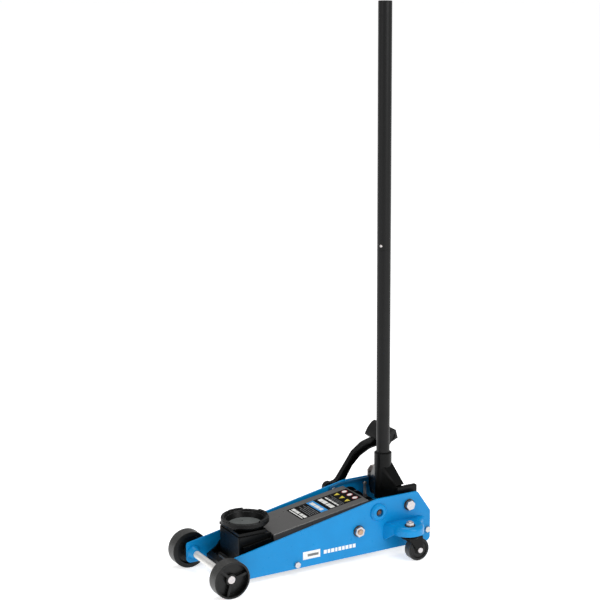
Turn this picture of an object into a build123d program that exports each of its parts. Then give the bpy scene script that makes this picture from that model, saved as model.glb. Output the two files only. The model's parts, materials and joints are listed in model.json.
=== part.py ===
from build123d import *
from math import cos, radians, sin
import os

# Long-frame trolley jack. Millimetres.
# +Z is up, +X points to the handle end, +Y is the side that carries the foot pedal.
# The origin is on the floor under the middle of the outline. Left is -Y, right is +Y.

os.makedirs("parts", exist_ok=True)

# ---------------------------------------------------------------- driving dimensions
plate_outer_y = 93.3
plate_thickness = 5
plate_inner_y = plate_outer_y - plate_thickness
plate_front_x = -310
plate_rear_x = 340
plate_bottom_z = 22
plate_nose_z = 78
plate_top_z = 171
plate_top_start_x = 170
plate_top_end_x = 298
plate_rear_step_z = 109

front_axle_x = -290
front_axle_z = 50
front_axle_r = 9.6
wheel_r = 50
wheel_width = 35
wheel_mid_y = 124.5
running_gap = 0.1

arm_pivot_x = 172.8
arm_pivot_z = 134.2
arm_length = 346.9
arm_slope = 8.75
arm_swing = 56
arm_half_width = 64
arm_plate_thickness = 5
cover_height = 31.9
cover_start = 11
cover_end = 304
cover_sheet = 3

link_offset_x = -62.2
link_offset_z = -42.2
link_inner_y = 66.5
link_thickness = 5

yoke_pivot_x = 270
yoke_pivot_z = 138
yoke_ear_outer_y = 76
yoke_ear_thickness = 12
handle_x = 244.2
handle_r = 18.2
handle_wall = 2
handle_bottom_z = 165
handle_joint_z = 830
handle_top_z = 1481
handle_neck_length = 70

saddle_x = -181
saddle_rim_z = 160.5
saddle_floor_z = 137.4
saddle_r = 64
saddle_disc_thickness = 2
saddle_disc_r = 45

cylinder_z = 79.5
crank_radius = 62
crank_pin_r = 8
ram_r = 14

plunger_x = 305
plunger_y = -40
plunger_r = 7

pedal_x = 135
pedal_z = 150
quick_x = 235
quick_y = 81.5

front_tie_x = -77
front_tie_z = 34
rear_tie_x = 330
rear_tie_z = 56
tie_bolt_r = 5.5
pedal_shaft_r = 8
pedal_near_y = 103
pedal_far_y = 120
pedal_wall = 4

caster_x = 240
caster_y = 147
caster_trail = 22
caster_wheel_r = 31.5
caster_wheel_width = 27
bracket_top_z = 100
bracket_thickness = 5


# ---------------------------------------------------------------- helpers
def save(builder, node):
    """Label a finished piece and write it as a STEP file named after its node."""
    builder.part.label = node
    export_step(builder.part, "parts/" + node + ".step")


def side_plane(y):
    """Sketch plane at height y across the jack: sketch X is world X, sketch Y is world Z."""
    return Plane(origin=(0, y, 0), x_dir=(1, 0, 0), z_dir=(0, -1, 0))


def arm_point(forward, height):
    """Point (x, z) given along the lifting arm from its rear pivot and square to it."""
    slope = radians(arm_slope)
    x = arm_pivot_x - forward * cos(slope) - height * sin(slope)
    z = arm_pivot_z - forward * sin(slope) + height * cos(slope)
    return (x, z)


arm_pivot = (arm_pivot_x, arm_pivot_z)
head_pivot = arm_point(arm_length, 0)
link_rear = (arm_pivot_x + link_offset_x, arm_pivot_z + link_offset_z)
link_front = (head_pivot[0] + link_offset_x, head_pivot[1] + link_offset_z)
crank_angle = radians(arm_swing / 2)
crank_pin = (
    arm_pivot_x + crank_radius * sin(crank_angle),
    arm_pivot_z - crank_radius * cos(crank_angle),
)
sides = {"left": -1, "right": 1}


# ---------------------------------------------------------------- side plates
def side_plate(side):
    """Flat side plate with its holes for the axle, pivots and tie bolts."""
    face_y = side * plate_outer_y if side < 0 else plate_inner_y
    outline = [
        (plate_front_x, plate_bottom_z),
        (plate_front_x, plate_nose_z),
        (plate_top_start_x, plate_top_z),
        (plate_top_end_x, plate_top_z),
        (plate_rear_x, plate_rear_step_z),
        (plate_rear_x, plate_bottom_z),
    ]
    corner_radii = [13, 7, 60, 12, 10, 13]
    holes = [
        ((front_axle_x, front_axle_z), front_axle_r),
        (arm_pivot, 10),
        (link_rear, 8),
        ((yoke_pivot_x, yoke_pivot_z), 8),
        ((front_tie_x, front_tie_z), tie_bolt_r),
        ((rear_tie_x, rear_tie_z), tie_bolt_r),
    ]
    if side > 0:
        holes.append(((pedal_x, pedal_z), pedal_shaft_r + running_gap))
    with BuildPart() as plate:
        with BuildSketch(side_plane(face_y)):
            with BuildLine():
                FilletPolyline(*outline, radius=corner_radii, close=True)
            make_face()
            for centre, radius in holes:
                with Locations(centre):
                    Circle(radius, mode=Mode.SUBTRACT)
        extrude(amount=-plate_thickness)
        rims = plate.edges().filter_by(GeomType.LINE).filter_by(Axis.Y, reverse=True)
        chamfer(rims, 0.8)
    return plate


for name, side in sides.items():
    save(side_plate(side), "side_plate_" + name)


# ---------------------------------------------------------------- arm pivot bosses and shaft
boss_r = 24
boss_face_r = 18
boss_height = 9
boss_bore_r = 11
shaft_r = 10
shaft_end_r = 6.5
with BuildPart() as arm_pivot_bosses:
    for side in sides.values():
        with BuildSketch(Plane(origin=(arm_pivot_x, 0, arm_pivot_z), x_dir=(1, 0, 0), z_dir=(0, 0, 1))):
            with BuildLine():
                Polyline(
                    (boss_bore_r, side * plate_outer_y),
                    (boss_r, side * plate_outer_y),
                    (boss_r, side * (plate_outer_y + 3)),
                    (boss_face_r + 1, side * (plate_outer_y + boss_height)),
                    (boss_bore_r, side * (plate_outer_y + boss_height)),
                    close=True,
                )
            make_face()
        revolve(axis=Axis((arm_pivot_x, 0, arm_pivot_z), (0, 1, 0)))
save(arm_pivot_bosses, "arm_pivot_bosses")

shaft_half = plate_outer_y + boss_height - 3
with BuildPart() as arm_pivot_shaft:
    with BuildSketch(side_plane(plate_outer_y)):
        with Locations(arm_pivot):
            Circle(shaft_r)
    extrude(amount=2 * plate_outer_y)
    with BuildSketch(side_plane(shaft_half)):
        with Locations(arm_pivot):
            Circle(shaft_end_r)
    extrude(amount=2 * shaft_half)
    chamfer(arm_pivot_shaft.edges().group_by(Axis.Y)[0], 1)
    chamfer(arm_pivot_shaft.edges().group_by(Axis.Y)[-1], 1)
save(arm_pivot_shaft, "arm_pivot_shaft")


# ---------------------------------------------------------------- front axle and wheels
hub_face = 8.5
axle_half = wheel_mid_y + hub_face + 0.3
with BuildPart() as front_axle:
    with BuildSketch(side_plane(axle_half)):
        with Locations((front_axle_x, front_axle_z)):
            Circle(front_axle_r)
    extrude(amount=2 * axle_half)
save(front_axle, "front_axle")

cap_r = 10.7
with BuildPart() as front_axle_caps:
    for side in sides.values():
        with BuildSketch(side_plane(side * axle_half)):
            with Locations((front_axle_x, front_axle_z)):
                Circle(cap_r)
        extrude(amount=-side * 3.4)
    fillet(front_axle_caps.edges().group_by(Axis.Y)[0], 1.5)
    fillet(front_axle_caps.edges().group_by(Axis.Y)[-1], 1.5)
save(front_axle_caps, "front_axle_caps")


def front_wheel(side):
    """Solid wheel with a flat tread, deeply dished on the outside, with three spokes."""
    half = wheel_width / 2
    hub_r = 15
    hub_rim = hub_face + 2.5
    rim_inner_r = 44.5
    back_inner_r = 38
    back_dish = 9
    web_face = 2.5
    edge = 1.5
    centre = (front_axle_x, side * wheel_mid_y, front_axle_z)
    axis = Axis(centre, (0, 1, 0))
    section_plane = Plane(origin=centre, x_dir=(1, 0, 0), z_dir=(0, 0, side))
    with BuildPart() as wheel:
        with BuildSketch(section_plane):
            with BuildLine():
                Polyline(
                    (front_axle_r + running_gap, -half),
                    (hub_r + 3, -half),
                    (hub_r + 5, -half + back_dish),
                    (back_inner_r - 2, -half + back_dish),
                    (back_inner_r, -half),
                    (wheel_r - edge, -half),
                    (wheel_r, -half + edge),
                    (wheel_r, half - edge),
                    (wheel_r - edge, half),
                    (rim_inner_r, half),
                    (rim_inner_r - 1, web_face),
                    (hub_r + 1, web_face),
                    (hub_r, hub_rim),
                    (cap_r + 1, hub_rim),
                    (cap_r + 0.5, hub_face),
                    (front_axle_r + running_gap, hub_face),
                    close=True,
                )
            make_face()
        revolve(axis=axis)
        spoke_plane = Plane(
            origin=(centre[0], centre[1] + side * web_face, centre[2]),
            x_dir=(1, 0, 0),
            z_dir=(0, side, 0),
        )
        with BuildSketch(spoke_plane):
            with PolarLocations(0, 3, 15):
                with Locations(((hub_r + rim_inner_r) / 2, 0)):
                    Rectangle(rim_inner_r - hub_r + 3, 7)
        extrude(amount=10)
    return wheel


for name, side in sides.items():
    save(front_wheel(side), "front_wheel_" + name)


# ---------------------------------------------------------------- tie bars of the frame
def hex_head(plane, centre, across_flats, height):
    """Hexagon bolt head or nut on a plane, inside the current part."""
    with BuildSketch(plane) as hexagon:
        with Locations(centre):
            RegularPolygon(across_flats / 2, 6, major_radius=False, rotation=15)
    extrude(hexagon.sketch, amount=height)


tie_tube_r = 10
with BuildPart() as front_cross_tie:
    with BuildSketch(side_plane(plate_inner_y)):
        with Locations((front_tie_x, front_tie_z)):
            Circle(tie_tube_r)
            Circle(tie_bolt_r, mode=Mode.SUBTRACT)
    extrude(amount=2 * plate_inner_y)
save(front_cross_tie, "front_cross_tie")

tie_bolt_head = 6
tie_bolt_nut = 7
with BuildPart() as frame_tie_bolts:
    for centre in ((front_tie_x, front_tie_z), (rear_tie_x, rear_tie_z)):
        with BuildSketch(side_plane(plate_outer_y)):
            with Locations(centre):
                Circle(tie_bolt_r)
        extrude(amount=2 * plate_outer_y)
        hex_head(side_plane(-plate_outer_y), centre, 15, tie_bolt_head)
        hex_head(side_plane(plate_outer_y + tie_bolt_nut), centre, 15, tie_bolt_nut)
save(frame_tie_bolts, "frame_tie_bolts")

# Shoulder bolts that carry the rear ends of the tie rods, with their nuts outside.
with BuildPart() as tie_rod_bolts:
    for side in sides.values():
        with BuildSketch(side_plane(side * (arm_half_width + 0.5))):
            with Locations(link_rear):
                Circle(12)
        extrude(amount=-side * 1.8)
        with BuildSketch(side_plane(side * (link_inner_y - 1))):
            with Locations(link_rear):
                Circle(8)
        extrude(amount=-side * (plate_outer_y + 15 - link_inner_y))
    chamfer(tie_rod_bolts.edges().group_by(Axis.Y)[0], 1.5)
    chamfer(tie_rod_bolts.edges().group_by(Axis.Y)[-1], 1.5)
save(tie_rod_bolts, "tie_rod_bolts")

with BuildPart() as tie_rod_nuts:
    for side in sides.values():
        nut_plane = side_plane(side * plate_outer_y)
        with BuildSketch(nut_plane):
            with Locations(link_rear):
                Circle(15)
                Circle(8, mode=Mode.SUBTRACT)
        extrude(amount=-side * 2)
        with BuildSketch(nut_plane.offset(-side * 2)):
            with Locations(link_rear):
                RegularPolygon(12.5, 6, major_radius=False, rotation=15)
                Circle(8, mode=Mode.SUBTRACT)
        extrude(amount=-side * 9)
save(tie_rod_nuts, "tie_rod_nuts")

with BuildPart() as yoke_pivot_bolts:
    for side in sides.values():
        bolt_plane = side_plane(side * plate_outer_y)
        with BuildSketch(side_plane(side * (yoke_ear_outer_y - yoke_ear_thickness - 1))):
            with Locations((yoke_pivot_x, yoke_pivot_z)):
                Circle(8)
        extrude(amount=-side * (plate_outer_y - yoke_ear_outer_y + yoke_ear_thickness + 2))
        with BuildSketch(bolt_plane):
            with Locations((yoke_pivot_x, yoke_pivot_z)):
                Circle(15.5)
        extrude(amount=-side * 2.5)
        with BuildSketch(bolt_plane.offset(-side * 2.5)):
            with Locations((yoke_pivot_x, yoke_pivot_z)):
                RegularPolygon(12, 6, major_radius=False, rotation=10)
        extrude(amount=-side * 9)
save(yoke_pivot_bolts, "yoke_pivot_bolts")


# ---------------------------------------------------------------- casters
def caster_bracket(side):
    """Pressed bracket welded to the side plate: top sheet, skirt, deeper front wall."""
    root = plate_outer_y
    reach = 172
    lip_r = 44
    lip_centre = (caster_x + 5, reach - lip_r)
    front_x = 189
    rear_x = 320
    wall_x = front_x + 16
    skirt_z = 75
    wall_low_z = 51
    pocket = (195.5, 307)
    with BuildPart() as bracket:
        with BuildSketch(Plane.XY.offset(wall_low_z)) as outline:
            with BuildLine():
                edge = Polyline(
                    (front_x, side * root),
                    (lip_centre[0] - lip_r, side * lip_centre[1]),
                )
                lip = ThreePointArc(
                    edge @ 1,
                    (lip_centre[0], side * reach),
                    (lip_centre[0] + lip_r, side * lip_centre[1]),
                )
                Polyline(lip @ 1, (rear_x, side * root), edge @ 0)
            make_face()
        extrude(amount=bracket_top_z - wall_low_z)
        top = bracket.faces().sort_by(Axis.Z)[-1]
        fillet(top.edges().filter_by(lambda e: abs(e.center().Y) > root + 1), 12)
        with BuildSketch(Plane.XY.offset(wall_low_z)):
            offset(outline.sketch_local, amount=-bracket_thickness, mode=Mode.ADD)
            with Locations((sum(pocket) / 2, side * (root + 2))):
                Rectangle(pocket[1] - pocket[0], 9)
        extrude(amount=bracket_top_z - bracket_thickness - wall_low_z, mode=Mode.SUBTRACT)
        with BuildSketch(Plane.XY.offset(wall_low_z)):
            with Locations(((wall_x + rear_x) / 2 + 1, side * (root + reach) / 2)):
                Rectangle(rear_x - wall_x + 2, reach - root + 4)
        extrude(amount=skirt_z - wall_low_z, mode=Mode.SUBTRACT)
        with BuildSketch(Plane(origin=(front_x - 5, 0, 0), x_dir=(0, 1, 0), z_dir=(1, 0, 0))):
            with BuildLine():
                Polyline(
                    (side * root, wall_low_z - 1),
                    (side * root, wall_low_z),
                    (side * lip_centre[1], skirt_z),
                    (side * (reach + 1), skirt_z),
                    (side * (reach + 1), wall_low_z - 1),
                    close=True,
                )
            make_face()
        extrude(amount=rear_x - front_x + 10, mode=Mode.SUBTRACT)
        with BuildSketch(Plane.XY.offset(bracket_top_z - bracket_thickness)):
            with Locations((caster_x, side * caster_y)):
                Circle(6.1)
        extrude(amount=bracket_thickness, mode=Mode.SUBTRACT)
    return bracket


fork_top_z = 71
with BuildPart() as caster_stems:
    for side in sides.values():
        with BuildSketch(Plane.XY.offset(fork_top_z - 7.5)):
            with Locations((caster_x, side * caster_y)):
                Circle(9)
        extrude(amount=3.3)
        with BuildSketch(Plane.XY.offset(fork_top_z - 7.5)):
            with Locations((caster_x, side * caster_y)):
                Circle(6)
        extrude(amount=bracket_top_z + 12 - fork_top_z + 7.5)
        with BuildSketch(Plane.XY.offset(fork_top_z + 9.3)):
            with Locations((caster_x, side * caster_y)):
                Circle(15)
        extrude(amount=bracket_top_z - bracket_thickness - fork_top_z - 9.3)
        with BuildSketch(Plane.XY.offset(bracket_top_z)):
            with Locations((caster_x, side * caster_y)):
                RegularPolygon(9.5, 6, major_radius=False)
        extrude(amount=9)
save(caster_stems, "caster_stems")


def caster_fork(side):
    """Stamped swivel fork: round top plate with a race cup and two tapered legs."""
    leg_inner = caster_wheel_width / 2 + 1.5
    leg = 3
    axle = (caster_x + caster_trail, caster_wheel_r)
    with BuildPart() as fork:
        with BuildSketch(Plane.XY.offset(fork_top_z - 4)):
            with Locations((caster_x, side * caster_y)):
                Circle(24)
                with Locations((14, 0)):
                    Rectangle(20, 2 * (leg_inner + leg))
        extrude(amount=4)
        with BuildSketch(Plane.XY.offset(fork_top_z)):
            with Locations((caster_x, side * caster_y)):
                Circle(20)
        extrude(amount=9, taper=12)
        for inner in (-leg_inner - leg, leg_inner):
            with BuildSketch(side_plane(side * caster_y + inner)):
                with BuildLine():
                    Polyline(
                        (caster_x - 14, fork_top_z),
                        (caster_x + 30, fork_top_z),
                        (axle[0] + 9, axle[1]),
                        (axle[0] - 9, axle[1]),
                        close=True,
                    )
                make_face()
                with Locations(axle):
                    Circle(9)
            extrude(amount=-leg)
        with BuildSketch(Plane.XY.offset(fork_top_z - 4)):
            with Locations((caster_x, side * caster_y)):
                Circle(6 + running_gap)
        extrude(amount=13, mode=Mode.SUBTRACT)
        with BuildSketch(side_plane(side * caster_y + leg_inner + leg)):
            with Locations(axle):
                Circle(5)
        extrude(amount=2 * (leg_inner + leg), mode=Mode.SUBTRACT)
    return fork


def caster_wheel(side):
    """Small solid wheel with a shallow dish on both faces."""
    half = caster_wheel_width / 2
    centre = (caster_x + caster_trail, side * caster_y, caster_wheel_r)
    with BuildPart() as wheel:
        with BuildSketch(Plane(origin=centre, x_dir=(1, 0, 0), z_dir=(0, 0, 1))):
            with BuildLine():
                Polyline(
                    (5 + running_gap, -half),
                    (11, -half),
                    (13, -half + 3),
                    (22, -half + 3),
                    (24, -half),
                    (caster_wheel_r - 2, -half),
                    (caster_wheel_r, -half + 3),
                    (caster_wheel_r, half - 3),
                    (caster_wheel_r - 2, half),
                    (24, half),
                    (22, half - 3),
                    (13, half - 3),
                    (11, half),
                    (5 + running_gap, half),
                    close=True,
                )
            make_face()
        revolve(axis=Axis(centre, (0, 1, 0)))
    return wheel


def caster_axle(side):
    """Riveted axle pin of one caster, with a round head on both ends."""
    half = caster_wheel_width / 2 + 4.5
    axle = (caster_x + caster_trail, caster_wheel_r)
    with BuildPart() as pin:
        with BuildSketch(side_plane(side * caster_y + half)):
            with Locations(axle):
                Circle(5)
        extrude(amount=2 * half)
        for end in (-1, 1):
            with BuildSketch(side_plane(side * caster_y + end * half)):
                with Locations(axle):
                    Circle(7.5)
            extrude(amount=-end * 2.5)
        fillet(pin.edges().group_by(Axis.Y)[0], 1.5)
        fillet(pin.edges().group_by(Axis.Y)[-1], 1.5)
    return pin


for name, side in sides.items():
    save(caster_bracket(side), "caster_bracket_" + name)
    save(caster_fork(side), "caster_fork_" + name)
    save(caster_wheel(side), "caster_wheel_" + name)
    save(caster_axle(side), "caster_axle_" + name)


# ---------------------------------------------------------------- lifting arm
nose_end = arm_length + 46
cover_half_width = arm_half_width + 4
with BuildPart() as arm_cover:
    with BuildSketch(side_plane(cover_half_width)):
        with BuildLine():
            Polyline(
                arm_point(cover_start, cover_height),
                arm_point(cover_end, cover_height),
                arm_point(cover_end, 14),
                arm_point(cover_start, 14),
                close=True,
            )
        make_face()
    extrude(amount=2 * cover_half_width)
    arm_up = Axis((0, 0, 0), (-sin(radians(arm_slope)), 0, cos(radians(arm_slope))))
    upper = arm_cover.faces().sort_by(arm_up)[-1]
    fillet(upper.edges(), 2.5)
    with BuildSketch(side_plane(arm_half_width)):
        with BuildLine():
            Polyline(
                arm_point(cover_start - 1, cover_height - cover_sheet),
                arm_point(cover_end + 1, cover_height - cover_sheet),
                arm_point(cover_end + 1, 13),
                arm_point(cover_start - 1, 13),
                close=True,
            )
        make_face()
    extrude(amount=2 * arm_half_width, mode=Mode.SUBTRACT)
    with BuildSketch(side_plane(arm_half_width - arm_plate_thickness - 0.5)):
        with BuildLine():
            Polyline(
                arm_point(cover_start, cover_height - cover_sheet + 1),
                arm_point(cover_start + 3, cover_height - cover_sheet + 1),
                arm_point(cover_start + 3, cover_height - 9),
                arm_point(cover_start, cover_height - 9),
                close=True,
            )
        make_face()
    extrude(amount=2 * (arm_half_width - arm_plate_thickness - 0.5))
save(arm_cover, "arm_cover")


def arm_cheek(side):
    """One side of the lifting arm, with a narrow ledge beside the head."""
    outer = arm_half_width
    low_y = outer if side > 0 else -outer + arm_plate_thickness
    with BuildPart() as cheek:
        with BuildSketch(side_plane(low_y)):
            with BuildLine():
                Polyline(
                    arm_point(cover_start + 3, cover_height - cover_sheet),
                    arm_point(cover_end, cover_height - cover_sheet),
                    arm_point(cover_end + 10, 25),
                    arm_point(nose_end, 25),
                    arm_point(nose_end, 13),
                    arm_point(arm_length + 16, -18),
                    arm_point(0, -24),
                    arm_point(-10, 0),
                    close=True,
                )
            make_face()
            with Locations(arm_pivot):
                Circle(25)
            with Locations(head_pivot):
                Circle(9 + running_gap, mode=Mode.SUBTRACT)
            with Locations(arm_pivot):
                Circle(17, mode=Mode.SUBTRACT)
        extrude(amount=arm_plate_thickness)
        ledge_plane = side_plane(outer + 2 if side > 0 else -outer)
        with BuildSketch(ledge_plane):
            with BuildLine():
                Polyline(
                    arm_point(cover_end + 8, 25),
                    arm_point(nose_end, 25),
                    arm_point(nose_end, 21),
                    arm_point(cover_end + 8, 21),
                    close=True,
                )
            make_face()
        extrude(amount=2)
    return cheek


for name, side in sides.items():
    save(arm_cheek(side), "arm_cheek_" + name)

with BuildPart() as arm_pivot_tube:
    with BuildSketch(side_plane(yoke_ear_outer_y)):
        with Locations(arm_pivot):
            Circle(17)
            Circle(10 + running_gap, mode=Mode.SUBTRACT)
    extrude(amount=2 * yoke_ear_outer_y)
save(arm_pivot_tube, "arm_pivot_tube")

crank_inner_y = 24
crank_thickness = 8
with BuildPart() as arm_crank_plates:
    for side in sides.values():
        with BuildSketch(side_plane(side * crank_inner_y)):
            with Locations(arm_pivot):
                Circle(24)
            with Locations(crank_pin):
                Circle(14)
            make_hull()
            with Locations(arm_pivot):
                Circle(17, mode=Mode.SUBTRACT)
            with Locations(crank_pin):
                Circle(crank_pin_r, mode=Mode.SUBTRACT)
        extrude(amount=-side * crank_thickness)
save(arm_crank_plates, "arm_crank_plates")

with BuildPart() as crank_pin_part:
    with BuildSketch(side_plane(36)):
        with Locations(crank_pin):
            Circle(crank_pin_r)
    extrude(amount=72)
    chamfer(crank_pin_part.edges().filter_by(GeomType.CIRCLE), 1)
save(crank_pin_part, "crank_pin")


# ---------------------------------------------------------------- tie rods
crosshead_x = link_front[0] - 28
crosshead_low_z = link_front[1] - 11
crosshead_top_z = link_front[1] + 8


def tie_rod(side):
    """Flat bar that keeps the head level, with a deep front end for the crosshead."""
    with BuildPart() as rod:
        with BuildSketch(side_plane(side * link_inner_y)):
            with Locations(link_rear):
                Circle(14)
            with Locations(link_front):
                Circle(13)
            with BuildLine():
                Polyline(
                    (link_rear[0], link_rear[1] + 10),
                    (link_front[0], link_front[1] + 10),
                    (link_front[0], link_front[1] - 10),
                    (link_rear[0], link_rear[1] - 10),
                    close=True,
                )
            make_face()
            with BuildLine():
                Polyline(
                    (link_front[0] + 22, link_front[1] + 12),
                    (link_front[0] + 16, link_front[1] + 38),
                    (link_front[0] + 10, link_front[1] + 39),
                    (link_front[0] + 5, link_front[1] + 29),
                    (link_front[0] - 3, link_front[1] + 22),
                    (link_front[0] - 18, link_front[1] + 13),
                    (crosshead_x, crosshead_top_z),
                    (crosshead_x, crosshead_low_z),
                    (link_front[0], link_front[1] - 12),
                    close=True,
                )
            make_face()
            with Locations(link_rear):
                Circle(8 + running_gap, mode=Mode.SUBTRACT)
            with Locations(link_front):
                Circle(7.25, mode=Mode.SUBTRACT)
        extrude(amount=-side * link_thickness)
    return rod


for name, side in sides.items():
    save(tie_rod(side), "tie_rod_" + name)

with BuildPart() as tie_rod_crosshead:
    with BuildSketch(side_plane(link_inner_y)):
        with BuildLine():
            Polyline(
                (crosshead_x, crosshead_low_z),
                (crosshead_x, crosshead_top_z),
                (crosshead_x + 12, crosshead_top_z + 6.5),
                (crosshead_x + 13, crosshead_top_z + 3),
                (crosshead_x + 4, crosshead_top_z - 2),
                (crosshead_x + 4, crosshead_low_z),
                close=True,
            )
        make_face()
    extrude(amount=2 * link_inner_y)
    with BuildSketch(Plane(origin=(crosshead_x, 0, crosshead_low_z), x_dir=(0, 1, 0), z_dir=(1, 0, 0))):
        Rectangle(40, 20)
    extrude(amount=4, mode=Mode.SUBTRACT)
save(tie_rod_crosshead, "tie_rod_crosshead")


# ---------------------------------------------------------------- head
head_front_x = -228
head_rear_x = -134
head_half_width = 57
head_plate = 5
head_side_top_z = 124
head_top_rear_x = -147
head_top_low_z = 128
head_top_z = 135
head_low_z = link_front[1] + 12
with BuildPart() as head_bracket:
    for side in sides.values():
        with BuildSketch(side_plane(side * head_half_width)):
            with BuildLine():
                Polyline(
                    (head_front_x, head_side_top_z),
                    (head_rear_x, head_side_top_z),
                    (head_rear_x, 74),
                    (head_pivot[0] + 16, 62),
                    (link_front[0] + 30, link_front[1] - 12),
                    (link_front[0], link_front[1] - 12),
                    (link_front[0], head_low_z),
                    (head_front_x, head_low_z),
                    close=True,
                )
            make_face()
            with Locations(link_front):
                Circle(12)
            with Locations(head_pivot):
                Circle(9, mode=Mode.SUBTRACT)
            with Locations(link_front):
                Circle(7, mode=Mode.SUBTRACT)
        extrude(amount=side * head_plate)
    with BuildSketch(Plane.XY.offset(head_low_z)):
        with Locations((head_front_x + head_plate / 2, 0)):
            Rectangle(head_plate, 2 * head_half_width)
    extrude(amount=head_side_top_z - head_low_z)
    uprights = head_bracket.edges().filter_by(Axis.Z).group_by(Axis.X)[0]
    fillet(uprights.filter_by(lambda e: e.length > 50), 4)
    with BuildSketch(Plane.XY.offset(head_side_top_z - 6)):
        with Locations(((head_front_x + head_top_rear_x) / 2, 0)):
            Rectangle(head_top_rear_x - head_front_x - 9, 2 * head_half_width - 9)
            Rectangle(head_top_rear_x - head_front_x - 20, 2 * head_half_width - 20, mode=Mode.SUBTRACT)
    extrude(amount=head_top_low_z - head_side_top_z + 6)
    with BuildSketch(Plane.XY.offset(head_top_low_z)):
        with Locations(((head_front_x + head_top_rear_x) / 2, 0)):
            Rectangle(head_top_rear_x - head_front_x, 2 * head_half_width)
        with Locations((saddle_x, 0)):
            Circle(10 + running_gap, mode=Mode.SUBTRACT)
    extrude(amount=head_top_z - head_top_low_z)
save(head_bracket, "head_bracket")

with BuildPart() as head_pins:
    with BuildSketch(side_plane(arm_half_width + 2)):
        with Locations(head_pivot):
            Circle(9)
    extrude(amount=2 * arm_half_width + 4)
    with BuildSketch(side_plane(74)):
        with Locations(link_front):
            Circle(7)
    extrude(amount=148)
    for side in sides.values():
        with BuildSketch(side_plane(side * 72)):
            with Locations(link_front):
                Circle(10)
        extrude(amount=-side * 2)
    chamfer(head_pins.edges().filter_by(GeomType.CIRCLE).group_by(Axis.Y)[0], 0.8)
    chamfer(head_pins.edges().filter_by(GeomType.CIRCLE).group_by(Axis.Y)[-1], 0.8)
save(head_pins, "head_pins")


# ---------------------------------------------------------------- saddle
saddle_seat_z = head_top_z + 0.2
stem_r = 10
stem_cap_r = 12
lug_arcs = ((-77, 42), (-7, 32), (68, 40), (109, 91))
with BuildPart() as saddle_cup:
    with BuildSketch(Plane(origin=(saddle_x, 0, 0), x_dir=(1, 0, 0), z_dir=(0, -1, 0))):
        with BuildLine():
            Polyline(
                (stem_r, saddle_seat_z),
                (34, saddle_seat_z),
                (50, saddle_seat_z + 1),
                (57, saddle_seat_z + 4),
                (saddle_r - 3, saddle_seat_z + 8),
                (saddle_r, saddle_seat_z + 12),
                (saddle_r, saddle_rim_z - 4),
                (saddle_r - 1, saddle_rim_z - 3.4),
                (saddle_r - 9, saddle_rim_z - 3.4),
                (saddle_r - 11, saddle_rim_z - 8),
                (saddle_r - 13, saddle_rim_z - 8),
                (saddle_disc_r + 0.2, saddle_floor_z),
                (stem_r, saddle_floor_z),
                close=True,
            )
        make_face()
    revolve(axis=Axis((saddle_x, 0, 0), (0, 0, 1)))
    for start, width in lug_arcs:
        with BuildSketch(Plane(origin=(saddle_x, 0, saddle_rim_z - 5), x_dir=(1, 0, 0), z_dir=(0, 0, 1))):
            with BuildLine():
                outer = CenterArc((0, 0), saddle_r - 1, start, width)
                inner = CenterArc((0, 0), saddle_r - 8, start, width)
                Line(outer @ 0, inner @ 0)
                Line(outer @ 1, inner @ 1)
            make_face()
        extrude(amount=5 if width < 60 else 4)
save(saddle_cup, "saddle_cup")

with BuildPart() as saddle_disc:
    with BuildSketch(Plane(origin=(saddle_x, 0, saddle_floor_z), x_dir=(1, 0, 0), z_dir=(0, 0, 1))):
        Circle(saddle_disc_r)
        with PolarLocations(24, 2, 80):
            Circle(3, mode=Mode.SUBTRACT)
        Circle(stem_cap_r + 0.2, mode=Mode.SUBTRACT)
    extrude(amount=saddle_disc_thickness)
save(saddle_disc, "saddle_disc")

stem_low_z = 102
washer_thickness = 3.5
with BuildPart() as saddle_stem:
    with BuildSketch(Plane.XY.offset(stem_low_z)):
        with Locations((saddle_x, 0)):
            Circle(stem_r)
    extrude(amount=saddle_floor_z - stem_low_z)
    with BuildSketch(Plane.XY.offset(saddle_floor_z)):
        with Locations((saddle_x, 0)):
            Circle(stem_cap_r)
    extrude(amount=saddle_disc_thickness)
    with BuildSketch(Plane.XY.offset(head_top_low_z - 0.5 - washer_thickness)):
        with Locations((saddle_x, 0)):
            Circle(15)
    extrude(amount=washer_thickness)
save(saddle_stem, "saddle_stem")


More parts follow.
